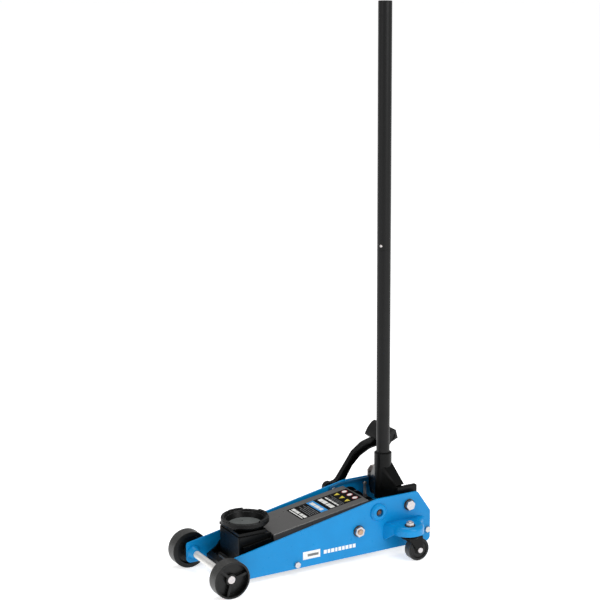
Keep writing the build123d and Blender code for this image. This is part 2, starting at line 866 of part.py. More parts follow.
# ---------------------------------------------------------------- handle yoke
collar_r = 24
collar_top_z = 267
ear_top_z = 185
ear_front_x = 245
ear_rear_x = 306
roller_x = yoke_pivot_x + 32
roller_z = yoke_pivot_z + 22
roller_r = 9
roller_width = 16
roller_pin_r = 4
collar_bottom_z = 136
shoulder_root_y = 13
shoulder_root = [(227, 226), (230, 238), (265, 236), (266, 145), (228, 145)]
shoulder_end = [(245.5, 187), (247.5, 188), (270.5, 188), (271.5, 145), (245.5, 145)]
bar_x = 282
bar_depth = 12
bar_height = 14
with BuildPart() as handle_yoke:
    with BuildSketch(Plane.XY.offset(collar_bottom_z)):
        with Locations((handle_x, 0)):
            Circle(collar_r)
    extrude(amount=collar_top_z - collar_bottom_z)
    for side in sides.values():
        with BuildSketch(side_plane(side * yoke_ear_outer_y)):
            with BuildLine():
                Polyline(
                    (ear_front_x, ear_top_z),
                    (ear_rear_x, ear_top_z),
                    (ear_rear_x, ear_top_z - 26),
                    (yoke_pivot_x + 20, yoke_pivot_z - 6),
                    (yoke_pivot_x - 20, yoke_pivot_z - 6),
                    (ear_front_x, yoke_pivot_z + 10),
                    close=True,
                )
            make_face()
            with Locations((yoke_pivot_x, yoke_pivot_z)):
                Circle(22)
        extrude(amount=side * yoke_ear_thickness)
    chamfer(handle_yoke.faces().sort_by(Axis.Z)[-3:-1].edges(), 2)
    for side in sides.values():
        with BuildSketch(side_plane(side * shoulder_root_y)) as root_section:
            Polygon(*shoulder_root, align=None)
        with BuildSketch(side_plane(side * (yoke_ear_outer_y - 8))) as end_section:
            Polygon(*shoulder_end, align=None)
        loft([root_section.sketch, end_section.sketch], ruled=True)
        with BuildSketch(side_plane(side * yoke_ear_outer_y)):
            with Locations((yoke_pivot_x, yoke_pivot_z)):
                Circle(8 + running_gap)
        extrude(amount=side * yoke_ear_thickness, mode=Mode.SUBTRACT)
    with BuildSketch(side_plane(yoke_ear_outer_y - 1)):
        with Locations((bar_x, roller_z)):
            Rectangle(bar_depth, bar_height)
    extrude(amount=2 * yoke_ear_outer_y - 2)
    for lug_y in (plunger_y - roller_width / 2 - 5, plunger_y + roller_width / 2 + 1):
        with BuildSketch(side_plane(lug_y + 4)):
            with Locations((roller_x, roller_z)):
                Circle(8)
            with Locations(((roller_x + bar_x) / 2, roller_z)):
                Rectangle(roller_x - bar_x, bar_height)
            with Locations((roller_x, roller_z)):
                Circle(roller_pin_r, mode=Mode.SUBTRACT)
        extrude(amount=4)
    with BuildSketch(Plane.XY.offset(collar_bottom_z)):
        with Locations((handle_x, 0)):
            Circle(handle_r + running_gap)
    extrude(amount=collar_top_z - collar_bottom_z, mode=Mode.SUBTRACT)
    mouth = handle_yoke.faces().sort_by(Axis.Z)[-1]
    chamfer(mouth.edges().sort_by(SortBy.RADIUS)[-1], 1.5)
    groove_angle = 214
    groove_low_z = 226
    groove_plane = Plane(
        origin=(
            handle_x + collar_r * cos(radians(groove_angle)),
            collar_r * sin(radians(groove_angle)),
            groove_low_z,
        ),
        x_dir=(-sin(radians(groove_angle)), cos(radians(groove_angle)), 0),
        z_dir=(0, 0, 1),
    )
    with BuildSketch(groove_plane):
        Rectangle(3, 5)
    extrude(amount=collar_top_z - 3 - groove_low_z, mode=Mode.SUBTRACT)
save(handle_yoke, "handle_yoke")

with BuildPart() as pump_roller:
    with BuildSketch(side_plane(plunger_y + roller_width / 2)):
        with Locations((roller_x, roller_z)):
            Circle(roller_r)
            Circle(roller_pin_r + running_gap, mode=Mode.SUBTRACT)
    extrude(amount=roller_width)
save(pump_roller, "pump_roller")

with BuildPart() as roller_pin:
    with BuildSketch(side_plane(plunger_y + roller_width / 2 + 6)):
        with Locations((roller_x, roller_z)):
            Circle(roller_pin_r)
    extrude(amount=roller_width + 12)
save(roller_pin, "roller_pin")


# ---------------------------------------------------------------- handle
neck_r = handle_r - handle_wall - 0.1
button_r = 4
button_z = handle_joint_z + 12
button_angle = 214
button_dir = (cos(radians(button_angle)), sin(radians(button_angle)), 0)
with BuildPart() as handle_lower_tube:
    with BuildSketch(Plane.XY.offset(handle_bottom_z)):
        with Locations((handle_x, 0)):
            Circle(handle_r)
            Circle(handle_r - handle_wall, mode=Mode.SUBTRACT)
    extrude(amount=handle_joint_z - handle_bottom_z)
    with BuildSketch(Plane.XY.offset(handle_joint_z - 20)):
        with Locations((handle_x, 0)):
            Circle(neck_r)
            Circle(neck_r - handle_wall, mode=Mode.SUBTRACT)
    extrude(amount=handle_neck_length + 20)
    with BuildSketch(Plane.XY.offset(handle_joint_z - 20)):
        with Locations((handle_x, 0)):
            Circle(handle_r - 1)
            Circle(neck_r - handle_wall, mode=Mode.SUBTRACT)
    extrude(amount=4)
    with BuildSketch(Plane(origin=(handle_x, 0, button_z), z_dir=button_dir)):
        Circle(button_r + running_gap)
    extrude(amount=handle_r + 2, mode=Mode.SUBTRACT)
save(handle_lower_tube, "handle_lower_tube")

with BuildPart() as handle_upper_tube:
    with BuildSketch(Plane.XY.offset(handle_joint_z + 0.4)):
        with Locations((handle_x, 0)):
            Circle(handle_r)
            Circle(handle_r - handle_wall, mode=Mode.SUBTRACT)
    extrude(amount=handle_top_z - handle_joint_z - 0.4)
    chamfer(handle_upper_tube.edges().group_by(Axis.Z)[-1], 0.6)
    with BuildSketch(Plane(origin=(handle_x, 0, button_z), z_dir=button_dir)):
        Circle(button_r + running_gap)
    extrude(amount=handle_r + 2, mode=Mode.SUBTRACT)
save(handle_upper_tube, "handle_upper_tube")

with BuildPart() as joint_button:
    with BuildSketch(Plane(origin=(handle_x, 0, button_z), z_dir=button_dir).offset(9)):
        Circle(button_r)
    extrude(amount=handle_r + 2.5 - 9)
    fillet(joint_button.edges().sort_by_distance((handle_x, 0, button_z))[-1], 2)
save(joint_button, "joint_button")

with BuildPart() as handle_coupling:
    with BuildSketch(Plane.XY.offset(handle_bottom_z)):
        with Locations((handle_x, 0)):
            Circle(handle_r - handle_wall)
    extrude(amount=24)
    with BuildSketch(Plane.XY.offset(handle_bottom_z - 10)):
        with Locations((handle_x, 0)):
            Circle(9)
            Rectangle(5, 20, mode=Mode.SUBTRACT)
    extrude(amount=10)
save(handle_coupling, "handle_coupling")


# ---------------------------------------------------------------- hydraulic unit
block_front_x = 290
block_rear_x = 322
block_half_width = 62
block_bottom_z = 34
block_top_z = 104
spring_seat_z = 84
spring_r = 14.2
wire_r = 1.6
with BuildPart() as pump_block:
    with BuildSketch(Plane.XY.offset(block_bottom_z)):
        with Locations(((block_front_x + block_rear_x) / 2, 0)):
            Rectangle(block_rear_x - block_front_x, 2 * block_half_width)
    extrude(amount=block_top_z - block_bottom_z)
    with BuildSketch(Plane.XY.offset(block_bottom_z)):
        with Locations(((block_front_x + block_rear_x) / 2, 0)):
            Rectangle(block_rear_x - block_front_x, 2 * plate_inner_y)
    extrude(amount=26)
    with BuildSketch(Plane.XY.offset(spring_seat_z)):
        with Locations((plunger_x, plunger_y)):
            Circle(16.5)
    extrude(amount=block_top_z - spring_seat_z + 1, mode=Mode.SUBTRACT)
    with BuildSketch(Plane.XY.offset(block_bottom_z + 4)):
        with Locations((plunger_x, plunger_y)):
            Circle(plunger_r + running_gap)
    extrude(amount=spring_seat_z - block_bottom_z - 4, mode=Mode.SUBTRACT)
    with BuildSketch(Plane(origin=(block_front_x, 0, cylinder_z), z_dir=(1, 0, 0))):
        Circle(ram_r + running_gap)
    extrude(amount=28, mode=Mode.SUBTRACT)
save(pump_block, "pump_block")

with BuildPart() as pump_gland:
    with BuildSketch(Plane.XY.offset(spring_seat_z)):
        with Locations((plunger_x, plunger_y)):
            Circle(11.5)
            Circle(plunger_r + running_gap, mode=Mode.SUBTRACT)
    extrude(amount=5)
save(pump_gland, "pump_gland")

cylinder_front_x = 228
cylinder_r = 25
valve_r = 5
valve_seat_z = 98
valve_boss_top_z = 119
with BuildPart() as lift_cylinder:
    with BuildSketch(Plane(origin=(cylinder_front_x, 0, cylinder_z), z_dir=(1, 0, 0))):
        Circle(cylinder_r)
    extrude(amount=block_front_x - cylinder_front_x)
    with BuildSketch(Plane.XY.offset(cylinder_z + 18)):
        with Locations((handle_x, 0)):
            Circle(13)
    extrude(amount=valve_boss_top_z - cylinder_z - 18)
    with BuildSketch(Plane(origin=(cylinder_front_x, 0, cylinder_z), z_dir=(1, 0, 0))):
        Circle(ram_r + running_gap)
    extrude(amount=block_front_x - cylinder_front_x, mode=Mode.SUBTRACT)
    with BuildSketch(Plane.XY.offset(valve_seat_z)):
        with Locations((handle_x, 0)):
            Circle(valve_r + running_gap)
    extrude(amount=valve_boss_top_z - valve_seat_z, mode=Mode.SUBTRACT)
save(lift_cylinder, "lift_cylinder")

with BuildPart() as cylinder_gland:
    with BuildSketch(Plane(origin=(cylinder_front_x - 7, 0, cylinder_z), z_dir=(1, 0, 0))):
        RegularPolygon(27, 8, major_radius=False)
        Circle(ram_r + running_gap, mode=Mode.SUBTRACT)
    extrude(amount=7)
save(cylinder_gland, "cylinder_gland")

tank_front_x = 230
tank_inner_y = 28
tank_bottom_z = 50
with BuildPart() as oil_reservoir:
    with BuildSketch(Plane.XY.offset(tank_bottom_z)):
        with Locations(((tank_front_x + block_front_x) / 2, (tank_inner_y + block_half_width) / 2)):
            RectangleRounded(block_front_x - tank_front_x, block_half_width - tank_inner_y, 5)
    extrude(amount=block_top_z - tank_bottom_z)
save(oil_reservoir, "oil_reservoir")

plug_centre = (258, 45)
with BuildPart() as filler_plug:
    with BuildSketch(Plane.XY.offset(block_top_z)):
        with Locations(plug_centre):
            Circle(9)
    extrude(amount=4)
    with BuildSketch(Plane.XY.offset(block_top_z + 4)):
        with Locations(plug_centre):
            RegularPolygon(6.5, 6, major_radius=False)
    extrude(amount=5)
save(filler_plug, "filler_plug")

with BuildPart() as release_valve:
    with BuildSketch(Plane.XY.offset(valve_seat_z + 0.5)):
        with Locations((handle_x, 0)):
            Circle(valve_r)
    extrude(amount=valve_boss_top_z + 1 - valve_seat_z - 0.5)
    with BuildSketch(Plane.XY.offset(valve_boss_top_z + 0.5)):
        with Locations((handle_x, 0)):
            Circle(9)
            Rectangle(5, 20, mode=Mode.SUBTRACT)
            Circle(6)
    extrude(amount=10)
save(release_valve, "release_valve")

plunger_top_z = roller_z - roller_r - 0.7
plunger_low_z = 78
with BuildPart() as pump_plunger:
    with BuildSketch(Plane.XY.offset(plunger_low_z)):
        with Locations((plunger_x, plunger_y)):
            Circle(plunger_r)
    extrude(amount=plunger_top_z - plunger_low_z)
    with BuildSketch(Plane.XY.offset(plunger_top_z - 5)):
        with Locations((plunger_x, plunger_y)):
            Circle(16)
    extrude(amount=5)
    chamfer(pump_plunger.edges().group_by(Axis.Z)[-1], 0.8)
save(pump_plunger, "pump_plunger")


def compression_spring(centre, coil_r, bottom, top, turns):
    """Round-wire compression spring standing on its seat."""
    height = top - bottom - 2 * wire_r
    with BuildPart() as spring:
        with BuildLine():
            path = Helix(height / turns, height, coil_r, center=(centre[0], centre[1], bottom + wire_r))
        with BuildSketch(Plane(origin=path @ 0, z_dir=path % 0)):
            Circle(wire_r)
        sweep(path=path)
    return spring


save(
    compression_spring((plunger_x, plunger_y), spring_r, spring_seat_z, plunger_top_z - 5, 6),
    "plunger_spring",
)

ram_front_x = 214
ram_rear_x = 316
clevis_front_x = crank_pin[0] - 18
clevis_rear_x = 219.5
with BuildPart() as ram:
    with BuildSketch(Plane(origin=(ram_front_x, 0, cylinder_z), z_dir=(1, 0, 0))):
        Circle(ram_r)
    extrude(amount=ram_rear_x - ram_front_x)
    chamfer(ram.edges().filter_by(GeomType.CIRCLE), 1)
save(ram, "ram")

slot_half_x = crank_pin_r + 0.9
slot_low_z = arm_pivot_z - crank_radius - crank_pin_r - 0.7
slot_high_z = cylinder_z + crank_pin_r + 0.9
with BuildPart() as ram_clevis:
    with BuildSketch(side_plane(crank_inner_y - 2)):
        with Locations(((clevis_front_x + clevis_rear_x) / 2, cylinder_z - 2)):
            RectangleRounded(clevis_rear_x - clevis_front_x, 44, 6)
        with Locations((crank_pin[0], (slot_low_z + slot_high_z) / 2)):
            Rectangle(2 * slot_half_x, slot_high_z - slot_low_z, mode=Mode.SUBTRACT)
    extrude(amount=2 * (crank_inner_y - 2))
    with BuildSketch(Plane(origin=(ram_front_x, 0, cylinder_z), z_dir=(1, 0, 0))):
        Circle(ram_r)
    extrude(amount=ram_rear_x - ram_front_x, mode=Mode.SUBTRACT)
save(ram_clevis, "ram_clevis")


# ---------------------------------------------------------------- foot pedal
quick_r = 4
quick_tip_r = 6
lever_edge_z = 162
barrel_low_z = 66
barrel_top_z = 120
barrel_inner_y = 75
quick_low_z = 108
with BuildPart() as quick_pump_barrel:
    with BuildSketch(Plane.XY.offset(barrel_low_z)):
        with Locations((quick_x - 2, (barrel_inner_y + plate_inner_y) / 2)):
            Rectangle(15, plate_inner_y - barrel_inner_y)
    extrude(amount=barrel_top_z - barrel_low_z)
    with BuildSketch(Plane.XY.offset(barrel_low_z + 6)):
        with Locations((quick_x, quick_y)):
            Circle(quick_r + running_gap)
    extrude(amount=barrel_top_z - barrel_low_z - 6, mode=Mode.SUBTRACT)
save(quick_pump_barrel, "quick_pump_barrel")

quick_top_z = lever_edge_z - 0.6
with BuildPart() as quick_plunger:
    with BuildSketch(Plane.XY.offset(quick_low_z)):
        with Locations((quick_x, quick_y)):
            Circle(quick_r)
    extrude(amount=quick_top_z - quick_tip_r - quick_low_z)
    with Locations((quick_x, quick_y, quick_top_z - quick_tip_r)):
        Sphere(quick_tip_r, arc_size1=-20)
save(quick_plunger, "quick_plunger")

shaft_inner_y = 77
with BuildPart() as pedal_shaft:
    with BuildSketch(side_plane(pedal_far_y + 2)):
        with Locations((pedal_x, pedal_z)):
            Circle(pedal_shaft_r)
    extrude(amount=pedal_far_y + 2 - shaft_inner_y)
    chamfer(pedal_shaft.edges().filter_by(GeomType.CIRCLE), 0.8)
save(pedal_shaft, "pedal_shaft")

inner_lever_y = 84
with BuildPart() as pedal_inner_lever:
    with BuildSketch(side_plane(inner_lever_y)):
        with BuildLine():
            Polyline(
                (pedal_x - 8, pedal_z + 10),
                (pedal_x + 20, plate_top_z - 3),
                (quick_x + 10, plate_top_z - 1),
                (quick_x + 10, plate_top_z + 20),
                (quick_x + 20, plate_top_z + 31),
                (quick_x + 34, plate_top_z + 31),
                (quick_x + 34, plate_top_z + 16),
                (quick_x + 21, plate_top_z + 16),
                (quick_x + 21, lever_edge_z),
                (pedal_x + 14, lever_edge_z),
                (pedal_x + 8, pedal_z + 5),
                close=True,
            )
        make_face()
        with Locations((pedal_x, pedal_z)):
            Circle(13)
            Circle(pedal_shaft_r, mode=Mode.SUBTRACT)
    extrude(amount=5)
save(pedal_inner_lever, "pedal_inner_lever")

pad_y0 = 46
pad_y1 = 155


def pad_outline():
    """Side outline of the foot pad."""
    with BuildSketch(side_plane(pad_y1)) as outline:
        with BuildLine():
            front = ThreePointArc((279, 270), (289, 288.5), (304, 304))
            Polyline(front @ 1, (314, 307), (321, 281), (300, 272), (291, 260), front @ 0)
        make_face()
    return outline.sketch


with BuildPart() as pedal_lever:
    with BuildSketch(side_plane(pedal_far_y)) as lever_outline:
        with BuildLine():
            FilletPolyline(
                (pedal_x - 13, pedal_z + 9),
                (159, 166),
                (193, 212),
                (213, 240),
                (244, 262),
                (272, 270),
                (292, 272),
                (297, 262),
                (288, 247),
                (265, 243),
                (234, 227.5),
                (208, 203),
                (186, 168),
                (pedal_x + 28, pedal_z - 10),
                radius=[4, 20, 40, 40, 40, 40, 1, 1, 10, 40, 40, 40, 40, 6],
                close=True,
            )
        make_face()
        with Locations((pedal_x, pedal_z)):
            Circle(16)
    extrude(amount=pedal_far_y - pedal_near_y)
    with BuildSketch(side_plane(pedal_far_y - pedal_wall)):
        offset(lever_outline.sketch_local, amount=-pedal_wall, mode=Mode.ADD)
        with Locations((pedal_x, pedal_z)):
            Circle(20, mode=Mode.SUBTRACT)
    extrude(amount=pedal_far_y - pedal_near_y - pedal_wall, mode=Mode.SUBTRACT)
    with BuildSketch(side_plane(pedal_far_y)):
        with Locations((pedal_x, pedal_z)):
            Circle(pedal_shaft_r)
    extrude(amount=pedal_far_y - pedal_near_y, mode=Mode.SUBTRACT)
    extrude(pad_outline(), amount=pad_y1 - pad_y0, mode=Mode.SUBTRACT)
save(pedal_lever, "pedal_lever")

with BuildPart() as pedal_pad:
    extrude(pad_outline(), amount=pad_y1 - pad_y0)
    fillet(pedal_pad.edges().filter_by(Axis.Y).group_by(Axis.Z)[-1], 3)
    with BuildSketch(side_plane(pad_y0)):
        with Locations((306, 286)):
            Rectangle(10, 16, rotation=-12)
    extrude(amount=-3, mode=Mode.SUBTRACT)
save(pedal_pad, "pedal_pad")
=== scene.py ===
import json
from math import cos, pi, radians, sin

import bmesh
import bpy
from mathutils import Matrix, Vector


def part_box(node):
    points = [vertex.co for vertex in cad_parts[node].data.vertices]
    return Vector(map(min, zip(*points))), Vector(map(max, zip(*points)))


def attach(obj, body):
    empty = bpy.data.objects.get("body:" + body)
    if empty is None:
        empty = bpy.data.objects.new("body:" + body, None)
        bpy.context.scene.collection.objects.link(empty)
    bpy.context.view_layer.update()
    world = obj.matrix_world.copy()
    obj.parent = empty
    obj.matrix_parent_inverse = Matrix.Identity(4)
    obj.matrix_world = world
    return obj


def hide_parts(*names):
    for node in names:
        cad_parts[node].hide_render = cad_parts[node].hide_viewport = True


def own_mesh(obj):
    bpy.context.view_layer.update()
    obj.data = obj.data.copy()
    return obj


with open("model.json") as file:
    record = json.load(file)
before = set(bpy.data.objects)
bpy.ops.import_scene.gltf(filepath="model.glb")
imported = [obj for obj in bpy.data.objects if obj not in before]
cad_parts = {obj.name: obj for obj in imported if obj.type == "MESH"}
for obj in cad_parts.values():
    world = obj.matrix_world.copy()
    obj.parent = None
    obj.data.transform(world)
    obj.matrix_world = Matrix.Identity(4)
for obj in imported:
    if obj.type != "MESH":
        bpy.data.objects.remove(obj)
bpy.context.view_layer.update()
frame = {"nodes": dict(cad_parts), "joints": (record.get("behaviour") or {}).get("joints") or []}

# Looks of a long-frame trolley jack, built around its CAD frame. Metres.
# +X points to the handle end, +Y is the side with the foot pedal, +Z is up.

MM = 0.001


# ---------------------------------------------------------------- measures read from the frame
def joint_place(name):
    """Point on a joint's axis at rest."""
    for joint in frame["joints"]:
        if joint["name"] == name:
            return Vector(joint["pos_m"])
    raise KeyError(name)


def points_of(node):
    """The vertices of a CAD node."""
    return [vertex.co.copy() for vertex in frame["nodes"][node].data.vertices]


arm_root = joint_place("arm_lift")
head_root = joint_place("head_level")
arm_forward = (head_root - arm_root).normalized()
arm_up = Vector((0, 1, 0)).cross(arm_forward).normalized()
if arm_up.z < 0:
    arm_up.negate()
cover_points = [point - arm_root for point in points_of("arm_cover")]
cover_top = max(point.dot(arm_up) for point in cover_points)
PLATE_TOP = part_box("side_plate_right")[1].z


# ---------------------------------------------------------------- material kit
class Shader:
    """Short names for the nodes of one procedural material, all placed in object space."""

    def __init__(self, name):
        self.material = bpy.data.materials.new(name)
        self.material.use_nodes = True
        self.tree = self.material.node_tree
        self.surface = self.tree.nodes["Principled BSDF"]
        self.place = self.add("ShaderNodeTexCoord").outputs["Object"]

    def add(self, kind, **settings):
        node = self.tree.nodes.new(kind)
        for key, value in settings.items():
            setattr(node, key, value)
        return node

    def feed(self, socket, value):
        if isinstance(value, bpy.types.NodeSocket):
            self.tree.links.new(value, socket)
        else:
            socket.default_value = value

    def noise(self, size, detail=3.0, rough=0.5, stretch=(1, 1, 1), shift=0.0):
        """Noise whose features are about this many millimetres across, from 0 to 1."""
        mapping = self.add("ShaderNodeMapping")
        self.feed(mapping.inputs["Vector"], self.place)
        mapping.inputs["Scale"].default_value = stretch
        mapping.inputs["Location"].default_value = (shift, 2 * shift, 3 * shift)
        node = self.add("ShaderNodeTexNoise")
        self.feed(node.inputs["Vector"], mapping.outputs["Vector"])
        node.inputs["Scale"].default_value = 1 / (size * MM)
        node.inputs["Detail"].default_value = detail
        node.inputs["Roughness"].default_value = rough
        return node.outputs["Fac"]

    def cells(self, size):
        """Distance to the nearest cell centre of a Voronoi pattern."""
        node = self.add("ShaderNodeTexVoronoi")
        self.feed(node.inputs["Vector"], self.place)
        node.inputs["Scale"].default_value = 1 / (size * MM)
        return node.outputs["Distance"]

    def math(self, kind, first, second=0.0):
        node = self.add("ShaderNodeMath", operation=kind, use_clamp=False)
        self.feed(node.inputs[0], first)
        self.feed(node.inputs[1], second)
        return node.outputs[0]

    def span(self, value, low, high, new_low=0.0, new_high=1.0):
        """Value from low to high mapped to the new span, held at both ends."""
        node = self.add("ShaderNodeMapRange", clamp=True)
        self.feed(node.inputs["Value"], value)
        self.feed(node.inputs["From Min"], low)
        self.feed(node.inputs["From Max"], high)
        self.feed(node.inputs["To Min"], new_low)
        self.feed(node.inputs["To Max"], new_high)
        return node.outputs["Result"]

    def mix(self, share, first, second):
        node = self.add("ShaderNodeMix", data_type="RGBA")
        self.feed(node.inputs["Factor"], share)
        self.feed(node.inputs[6], first)
        self.feed(node.inputs[7], second)
        return node.outputs[2]

    def rounded(self, radius):
        """Normal of the surface with its sharp edges rounded by this many millimetres."""
        node = self.add("ShaderNodeBevel", samples=4)
        node.inputs["Radius"].default_value = radius * MM
        return node.outputs["Normal"]

    def edges(self, radius, width=0.08):
        """1 on sharp edges and 0 on flat faces."""
        true_normal = self.add("ShaderNodeNewGeometry").outputs["True Normal"]
        dot = self.add("ShaderNodeVectorMath", operation="DOT_PRODUCT")
        self.feed(dot.inputs[0], self.rounded(radius))
        self.feed(dot.inputs[1], true_normal)
        return self.span(dot.outputs["Value"], 1 - width, 1 - 0.15 * width, 1, 0)

    def bump(self, height, depth, strength=1.0, normal=None):
        """Bump of this many millimetres at full height."""
        node = self.add("ShaderNodeBump")
        node.inputs["Strength"].default_value = strength
        node.inputs["Distance"].default_value = depth * MM
        self.feed(node.inputs["Height"], height)
        if normal is not None:
            self.feed(node.inputs["Normal"], normal)
        return node.outputs["Normal"]

    def radius_about(self, centre, axis):
        """Distance in metres from a straight axis along X, Y or Z."""
        parts = self.add("ShaderNodeSeparateXYZ")
        self.feed(parts.inputs[0], self.place)
        total = None
        for index, letter in enumerate("XYZ"):
            if letter == axis:
                continue
            away = self.math("SUBTRACT", parts.outputs[index], centre[index])
            square = self.math("MULTIPLY", away, away)
            total = square if total is None else self.math("ADD", total, square)
        return self.math("SQRT", total)

    def set(self, **values):
        for key, value in values.items():
            self.feed(self.surface.inputs[key.replace("_", " ")], value)
        return self.material


def colour(red, green, blue):
    """Linear colour from display values, 0 to 255."""
    def linear(value):
        share = value / 255
        return share / 12.92 if share <= 0.04045 else ((share + 0.055) / 1.055) ** 2.4
    return (linear(red), linear(green), linear(blue), 1.0)


# ---------------------------------------------------------------- materials
BARE_METAL_CHIP = colour(120, 122, 124)
# Light iron for cast edges: partly rubbed metal, partly painted highlight.
RUBBED_IRON_AND_HIGHLIGHT = colour(96, 98, 100)
DULL_ZINC = colour(150, 148, 142)
WORN_STEEL = colour(150, 140, 136)
# Grey for scuff marks, and for the painted highlight on wheel treads.
SCUFF_AND_TREAD_HIGHLIGHT = colour(80, 80, 79)


def paint(name, base, dark, edge, gloss, grain=1.4, grain_depth=0.05, chips=0.62, coat=0.25, shine=0.5):
    """Sprayed enamel: orange peel, soft colour drift, rubbed edges and a few chips on them."""
    look = Shader(name)
    drift = look.span(look.noise(70, 4, 0.6), 0.3, 0.7)
    body = look.mix(drift, base, dark)
    speck = look.span(look.noise(0.9, 2, 0.5, shift=3), 0.72, 0.8)
    body = look.mix(look.math("MULTIPLY", speck, 0.25), body, edge)
    rubbed = look.edges(1.0)
    patchy = look.span(look.noise(9, 5, 0.7, shift=1), chips, chips + 0.1)
    worn = look.math("MULTIPLY", rubbed, patchy)
    body = look.mix(look.math("MULTIPLY", rubbed, 0.15), body, edge)
    body = look.mix(look.math("MULTIPLY", worn, 0.8), body, BARE_METAL_CHIP)
    smear = look.noise(28, 6, 0.7, shift=2)
    scratches = look.span(look.noise(3, 6, 0.75, (1, 1, 12), 5), 0.66, 0.74)
    rough = look.span(smear, 0.25, 0.75, gloss - 0.06, gloss + 0.09)
    rough = look.math("ADD", rough, look.math("MULTIPLY", scratches, 0.12))
    peel = look.math("ADD", look.noise(grain, 2, 0.5), look.math("MULTIPLY", look.noise(6, 2), 0.8))
    normal = look.bump(peel, grain_depth, 0.6, look.rounded(0.7))
    return look.set(
        Base_Color=body, Roughness=rough, Normal=normal,
        Specular_IOR_Level=shine, Coat_Weight=coat, Coat_Roughness=0.2,
    )


def cast(name, base, light, gloss, shine=0.35):
    """Sand-cast iron under thin black paint: pitted, with bright edges that are partly rubbed metal and
    partly painted highlight.
    """
    look = Shader(name)
    lumps = look.noise(2.2, 5, 0.65)
    pits = look.span(look.cells(3.2), 0.1, 0.45)
    drift = look.span(look.noise(24, 4, 0.6, shift=2), 0.35, 0.7)
    body = look.mix(drift, base, light)
    # Painted highlight mixed with rubbing: patchy edges are lightened as if light caught them.
    rubbed = look.math("MULTIPLY", look.edges(1.4), look.span(look.noise(6, 4, 0.7, shift=4), 0.42, 0.6))
    body = look.mix(look.math("MULTIPLY", rubbed, 0.7), body, RUBBED_IRON_AND_HIGHLIGHT)
    rough = look.span(lumps, 0.3, 0.7, gloss - 0.08, gloss + 0.12)
    height = look.math("ADD", lumps, look.math("MULTIPLY", pits, 0.5))
    normal = look.bump(height, 0.35, 0.7, look.rounded(1.0))
    return look.set(Base_Color=body, Roughness=rough, Normal=normal, Specular_IOR_Level=shine)


def plated(name, base, tint, gloss, grain=(1, 1, 1)):
    """Bright zinc plate: faint rainbow drift, fine tooling marks, dull patches."""
    look = Shader(name)
    drift = look.span(look.noise(7, 4, 0.6), 0.35, 0.65)
    body = look.mix(drift, base, tint)
    dull = look.span(look.noise(2.5, 5, 0.7, shift=2), 0.45, 0.75)
    body = look.mix(look.math("MULTIPLY", dull, 0.3), body, DULL_ZINC)
    rough = look.span(look.noise(4, 5, 0.7, shift=4), 0.25, 0.75, gloss - 0.07, gloss + 0.14)
    marks = look.noise(0.7, 3, 0.6, grain, 1)
    normal = look.bump(marks, 0.05, 0.5, look.rounded(0.5))
    return look.set(Base_Color=body, Metallic=0.9, Roughness=rough, Normal=normal)


def turned(name, base, tint, gloss, ring=(12, 1, 1)):
    """Turned or drawn steel: fine rings along the part and a little oil staining."""
    look = Shader(name)
    body = look.mix(look.span(look.noise(12, 5, 0.65), 0.35, 0.7), base, tint)
    lines = look.noise(2.5, 4, 0.6, ring, 2)
    rough = look.span(lines, 0.3, 0.7, gloss - 0.06, gloss + 0.08)
    normal = look.bump(lines, 0.04, 0.5, look.rounded(0.4))
    return look.set(Base_Color=body, Metallic=0.95, Roughness=rough, Normal=normal)


def half_painted(name, base, dark, bare, level):
    """Dark paint that stops at a height, with worn bare steel above it; the paint's darkness is painted
    shade.
    """
    look = Shader(name)
    parts = look.add("ShaderNodeSeparateXYZ")
    look.feed(parts.inputs[0], look.place)
    ragged = look.math("ADD", parts.outputs[2], look.math("MULTIPLY", look.noise(3, 4, 0.6), MM))
    above = look.span(ragged, level, level + 2 * MM)
    painted = look.mix(look.span(look.noise(30, 4, 0.6), 0.3, 0.7), base, dark)
    steel = look.mix(look.span(look.noise(4, 5, 0.7, shift=2), 0.3, 0.7), bare, WORN_STEEL)
    rough = look.span(look.noise(6, 5, 0.7, shift=4), 0.3, 0.7, 0.34, 0.48)
    normal = look.bump(look.noise(1.4, 2, 0.5), 0.04, 0.5, look.rounded(0.5))
    return look.set(
        Base_Color=look.mix(above, painted, steel),
        Metallic=look.math("MULTIPLY", above, 0.7),
        Roughness=rough,
        Normal=normal,
    )


def moulded(name, base, scuff, gloss, wheel=None, tread=0.0):
    """Moulded plastic: fine spark-eroded grain, scuffs, and on a wheel a lighter grey tread that is
    painted highlight.
    """
    look = Shader(name)
    body = look.mix(look.span(look.noise(30, 4, 0.6), 0.3, 0.7), base, scuff)
    marks = look.span(look.noise(5, 6, 0.75, (1, 6, 1), 3), 0.62, 0.72)
    scuffs_and_highlight = look.math("MULTIPLY", marks, 0.3)
    if wheel is not None:
        # Painted highlight: the whole tread ring is lightened to the grey of a lit tread.
        outer = look.span(look.radius_about(wheel, "Y"), tread - 1.5 * MM, tread - 0.2 * MM)
        tread_highlight_patches = look.span(look.noise(4, 5, 0.7, shift=6), 0.3, 0.7, 0.25, 0.9)
        scuffs_and_highlight = look.math("MAXIMUM", scuffs_and_highlight, look.math("MULTIPLY", outer, tread_highlight_patches))
    body = look.mix(scuffs_and_highlight, body, SCUFF_AND_TREAD_HIGHLIGHT)
    rough = look.span(look.noise(9, 5, 0.7, shift=2), 0.25, 0.75, gloss - 0.05, gloss + 0.1)
    grain = look.math("ADD", look.noise(0.6, 2, 0.5), look.math("MULTIPLY", look.cells(1.1), 0.4))
    normal = look.bump(grain, 0.05, 0.6, look.rounded(0.8))
    return look.set(Base_Color=body, Roughness=rough, Normal=normal, Specular_IOR_Level=0.3)


